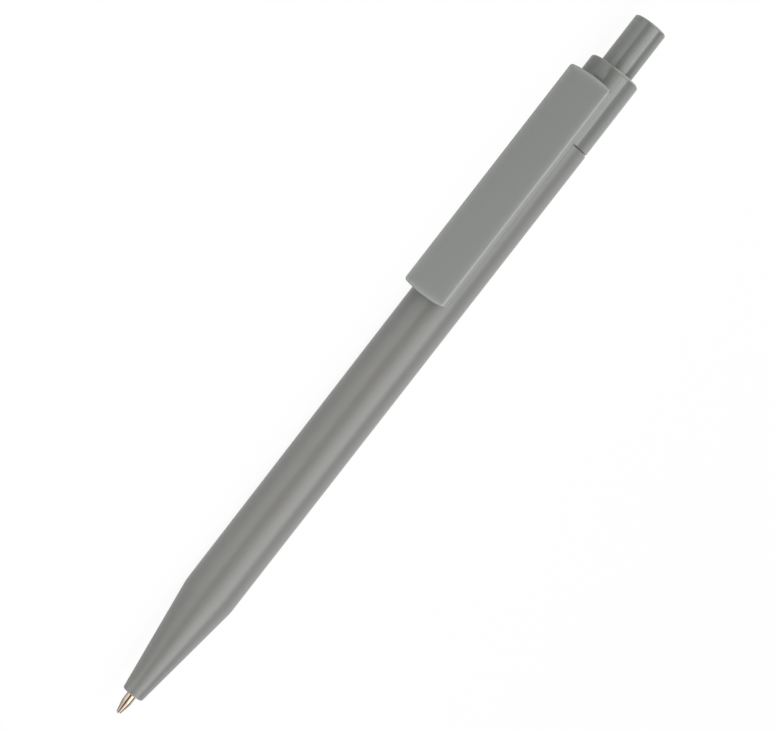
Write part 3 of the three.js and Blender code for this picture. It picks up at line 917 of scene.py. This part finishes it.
def make_camera():
    """Camera that sees the clip turned by CLIP_TURN and the pen's middle at PEN_MIDDLE_PX."""
    clip_dip = math.asin(-OUT.z)
    rise = CLIP_TURN - clip_dip
    toward = Vector((0, -math.cos(rise), math.sin(rise)))
    sideways = Vector((0, math.sin(rise), math.cos(rise)))
    right = math.sin(PEN_TILT) * ALONG + math.cos(PEN_TILT) * sideways
    up = math.cos(PEN_TILT) * ALONG - math.sin(PEN_TILT) * sideways
    middle = Vector(((CAD_BOX[0][0] + CAD_BOX[1][0]) / 2, NOSE.y, NOSE.z))
    aim = middle + right * (PHOTO_WIDTH / 2 - PEN_MIDDLE_PX[0]) * MM / PIXELS_PER_MM
    aim += up * (PEN_MIDDLE_PX[1] - PHOTO_HEIGHT / 2) * MM / PIXELS_PER_MM
    data = bpy.data.cameras.new("camera")
    data.sensor_fit = "HORIZONTAL"
    data.lens = data.sensor_width * CAMERA_DISTANCE / (PHOTO_WIDTH * MM / PIXELS_PER_MM)
    data.clip_start = CAMERA_NEAR
    camera = bpy.data.objects.new("camera", data)
    bpy.context.collection.objects.link(camera)
    turn = Matrix((right, up, toward)).transposed().to_4x4()
    camera.matrix_world = Matrix.Translation(aim + toward * CAMERA_DISTANCE) @ turn
    bpy.context.scene.camera = camera


# Stage and light

WHITE = (1.0, 1.0, 1.0)

# Painted shade in the floor as polished surfaces see it, as (place in mm, level): across the pen from its
# axis, below the body and below the tip, and along the pen below the body. It darkens the floor below the
# pen, far in front and towards the pen's ends
PAINTED_SHADE_BELOW_BODY = ((-44, 0.05), (-32, 1), (-12, 1), (-7, 0.82), (-5.2, 0.6), (-4.2, 0.6), (-2.2, 0.9), (-1.5, 1))
PAINTED_SHADE_BELOW_TIP = ((-30, 0.03), (-20, 1), (-5, 1), (-3, 0.68), (-1.5, 0.42), (0, 0.42), (2.5, 0.65), (5, 1))
PAINTED_SHADE_ALONG_BODY = ((-75, 0.7), (-58, 0.75), (-12, 1), (42, 1), (50, 0.78), (66, 0.55))

# Half the floor's side in metres, its own white, and how much of what is seen of it directly, mirrored
# or through a clear piece is its glow
FLOOR_HALF = 3
FLOOR_WHITE = 0.94
FLOOR_GLOW = 0.95

# Softboxes along the front of the pen: their distance and both ends in metres, and for each its elevation
# in degrees, its width in metres and its radiance
SOFTBOX_DISTANCE = 0.6
SOFTBOX_ENDS = (-0.19, 0.5)
SOFTBOXES = {
    "overhead": (70.5, 0.25, 1.4),
    "upper_front": (50, 0.17, 1.03),
    "lower_front": (36, 0.12, 0.42),
}

# The tent by directions from -1 to 1: (y, level), what is added past |x|, by z, and the opening's colour and
# edges in y and z
TENT = ((-1, 0.5), (-0.1, 0.5), (0.08, 0.2), (0.2, 0.12), (0.42, 0.4), (0.65, 0.78), (1, 0.85))
SIDE_EDGE = (0.58, 0.72)
SIDE_HEIGHTS = (-0.1, 0.8)
SIDE_LEVELS = (0.8, 2)
OPENING_COLOUR = (0.26, 0.1, 0.01)
OPENING_EDGE = (-0.85, -0.6)
OPENING_TOP = (0.2, 0.42)


def levels(tree, value, stops, unit=1.0):
    """Grey level read from stops (place, level), whose places are in a unit of the value."""
    first, last = stops[0][0] * unit, stops[-1][0] * unit
    node = tree.nodes.new("ShaderNodeValToRGB")
    elements = node.color_ramp.elements
    for place, _ in stops[1:-1]:
        elements.new((place * unit - first) / (last - first))
    for element, (_, level) in zip(elements, stops):
        element.color = (level, level, level, 1)
    tree.links.new(mapped(tree, value, first, last, 0, 1), node.inputs["Fac"])
    return node.outputs["Color"]


def floor_levels_with_painted_shade(tree):
    """Level that polished surfaces see at a place of the floor, with painted shade below and around the pen.
    """
    parts = separated(tree, tree.nodes.new("ShaderNodeTexCoord").outputs["Object"])
    x, y = parts["X"], calculated(tree, "SUBTRACT", parts["Y"], NOSE.y)
    clip_low, clip_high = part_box("clip")
    clip_half = (clip_high.x - clip_low.x) / 2
    from_clip = calculated(tree, "SUBTRACT", x, (clip_low.x + clip_high.x) / 2)
    by_clip = calculated(tree, "ABSOLUTE", from_clip, 0)
    below_clip = mapped(tree, by_clip, clip_half - MM, clip_half + MM, 1, 0)
    body = calculated(tree, "MAXIMUM", levels(tree, y, PAINTED_SHADE_BELOW_BODY, MM), below_clip)
    body = calculated(tree, "MULTIPLY", body, levels(tree, x, PAINTED_SHADE_ALONG_BODY, MM))
    past_nose = mapped(tree, x, NOSE.x - MM, NOSE.x + MM, 0, 1)
    before_nose = calculated(tree, "SUBTRACT", 1, past_nose)
    tip = calculated(tree, "MULTIPLY", levels(tree, y, PAINTED_SHADE_BELOW_TIP, MM), past_nose)
    return calculated(tree, "ADD", tip, calculated(tree, "MULTIPLY", body, before_nose))


def make_floor():
    """White floor: matt for the light it sends on, and glowing where it is seen, with painted shade in the
    glow that polished surfaces see.
    """
    mesh = bpy.data.meshes.new("floor")
    corners = [(x * FLOOR_HALF, y * FLOOR_HALF, 0) for x, y in ((-1, -1), (1, -1), (1, 1), (-1, 1))]
    mesh.from_pydata(corners, [], [(0, 1, 2, 3)])
    floor = bpy.data.objects.new("floor", mesh)
    bpy.context.collection.objects.link(floor)
    made = bpy.data.materials.new("floor_white")
    made.use_nodes = True
    tree = made.node_tree
    tree.nodes.remove(tree.nodes["Principled BSDF"])
    matt = tree.nodes.new("ShaderNodeBsdfDiffuse")
    matt.inputs["Color"].default_value = (FLOOR_WHITE, FLOOR_WHITE, FLOOR_WHITE, 1)
    rays = tree.nodes.new("ShaderNodeLightPath").outputs
    glow = tree.nodes.new("ShaderNodeEmission")
    glow.inputs["Color"].default_value = (*WHITE, 1)
    # The glow that mirrored rays see carries the painted shade; camera rays see it evenly white
    strength = calculated(tree, "MAXIMUM", floor_levels_with_painted_shade(tree), rays["Is Camera Ray"])
    tree.links.new(strength, glow.inputs["Strength"])
    seen = rays["Is Camera Ray"]
    for kind in ("Is Glossy Ray", "Is Transmission Ray"):
        seen = calculated(tree, "MAXIMUM", seen, rays[kind])
    mix = tree.nodes.new("ShaderNodeMixShader")
    tree.links.new(calculated(tree, "MULTIPLY", seen, FLOOR_GLOW), mix.inputs["Fac"])
    tree.links.new(matt.outputs["BSDF"], mix.inputs[1])
    tree.links.new(glow.outputs["Emission"], mix.inputs[2])
    tree.links.new(mix.outputs["Shader"], tree.nodes["Material Output"].inputs["Surface"])
    mesh.materials.append(made)


def make_softbox(name, elevation, width, radiance):
    """Area light along the pen that faces its axis, seen from there at an elevation in degrees."""
    low, high = SOFTBOX_ENDS
    data = bpy.data.lights.new(name, "AREA")
    data.shape = "RECTANGLE"
    data.size = high - low
    data.size_y = width
    data.energy = radiance * math.pi * data.size * data.size_y
    light = bpy.data.objects.new(name, data)
    bpy.context.collection.objects.link(light)
    angle = math.radians(elevation)
    away = Vector((0, -math.cos(angle), math.sin(angle)))
    light.location = Vector(((low + high) / 2, NOSE.y, NOSE.z)) + away * SOFTBOX_DISTANCE
    light.rotation_euler = away.to_track_quat("Z", "Y").to_euler()


def make_world():
    """A white tent, brighter at the back, with a dark opening in front where the camera stands."""
    world = bpy.data.worlds.new("studio")
    world.use_nodes = True
    tree = world.node_tree
    background = tree.nodes["Background"].inputs
    parts = separated(tree, tree.nodes.new("ShaderNodeTexCoord").outputs["Generated"])
    past_side = mapped(tree, calculated(tree, "ABSOLUTE", parts["X"], 0), *SIDE_EDGE, 0, 1)
    side_level = mapped(tree, parts["Z"], *SIDE_HEIGHTS, *SIDE_LEVELS)
    sides = calculated(tree, "MULTIPLY", past_side, side_level)
    tent = calculated(tree, "ADD", levels(tree, parts["Y"], TENT), sides)
    behind = mapped(tree, parts["Y"], *OPENING_EDGE, 0, 1)
    above = mapped(tree, parts["Z"], *OPENING_TOP, 0, 1)
    closed = calculated(tree, "MAXIMUM", behind, above)
    tree.links.new(mixed(tree, closed, OPENING_COLOUR, WHITE), background["Color"])
    tree.links.new(tent, background["Strength"])
    bpy.context.scene.world = world


make_camera()
make_floor()
make_world()
for box_name, box_values in SOFTBOXES.items():
    make_softbox(box_name, *box_values)
bpy.context.scene.view_settings.view_transform = "Standard"
